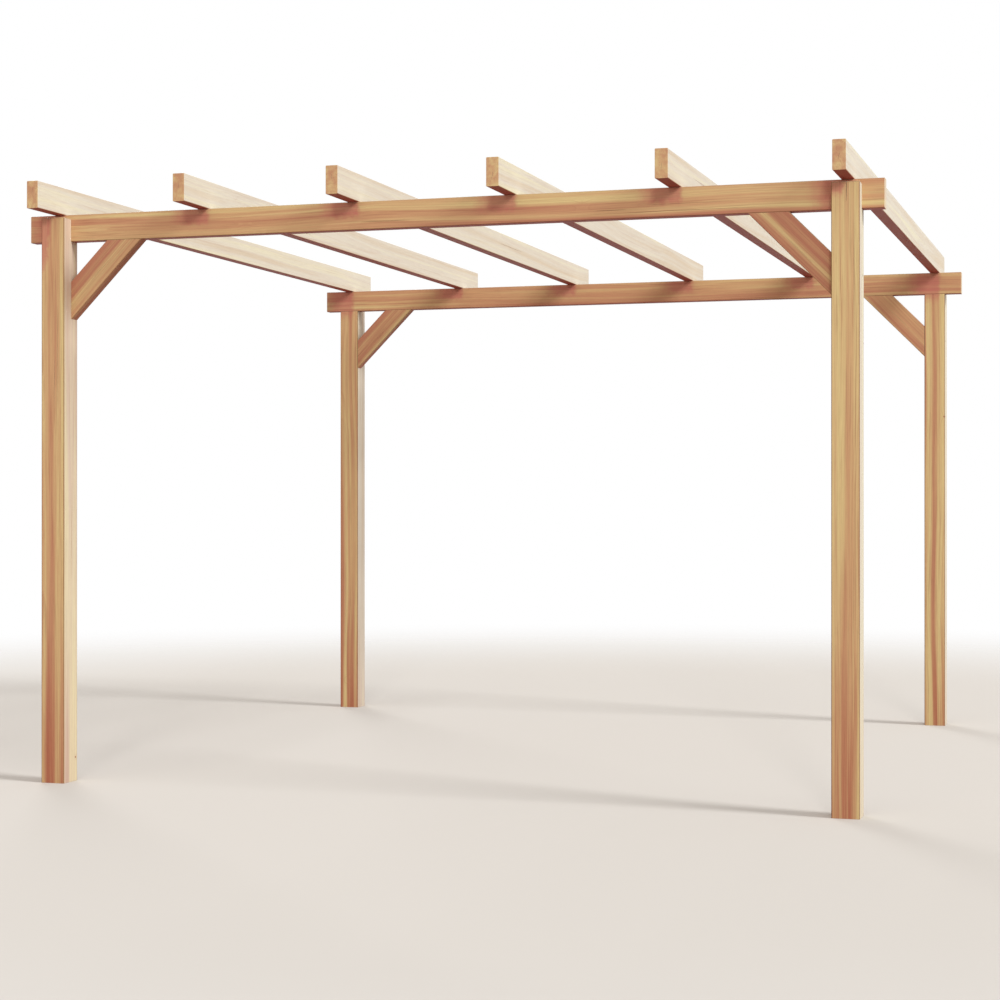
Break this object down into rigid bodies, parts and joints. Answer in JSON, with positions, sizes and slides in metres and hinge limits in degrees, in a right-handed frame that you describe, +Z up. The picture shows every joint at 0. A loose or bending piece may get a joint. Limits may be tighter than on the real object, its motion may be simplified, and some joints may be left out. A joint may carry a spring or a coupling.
{
  "type": "open timber pergola",
  "caption": "Free-standing timber garden pergola with square posts, let-in beams, mitred knee braces and square-cut rafters laid across the beams.",
  "frame": {"origin": "on the ground at the middle of the plan, halfway between the posts both ways", "axes": "+X runs along the beams to the right as seen from the front, +Y along the rafters from the front to the back, +Z is up"},
  "size_m": [3.2, 3.2, 2.22],
  "materials": {
    "post_timber": "planed and oiled softwood, satin",
    "beam_timber": "planed and oiled softwood, satin",
    "rafter_timber": "planed and oiled softwood, satin",
    "brace_timber": "planed and oiled softwood, satin"
  },
  "bodies": {
    "root": {"beam_front": "beam_timber", "post_front_left": "post_timber", "brace_front_left": "brace_timber", "post_front_right": "post_timber", "brace_front_right": "brace_timber", "beam_back": "beam_timber", "post_back_left": "post_timber", "brace_back_left": "brace_timber", "post_back_right": "post_timber", "brace_back_right": "brace_timber", "rafter_1": "rafter_timber", "rafter_2": "rafter_timber", "rafter_3": "rafter_timber", "rafter_4": "rafter_timber", "rafter_5": "rafter_timber", "rafter_6": "rafter_timber"}
  },
  "joints": []
}
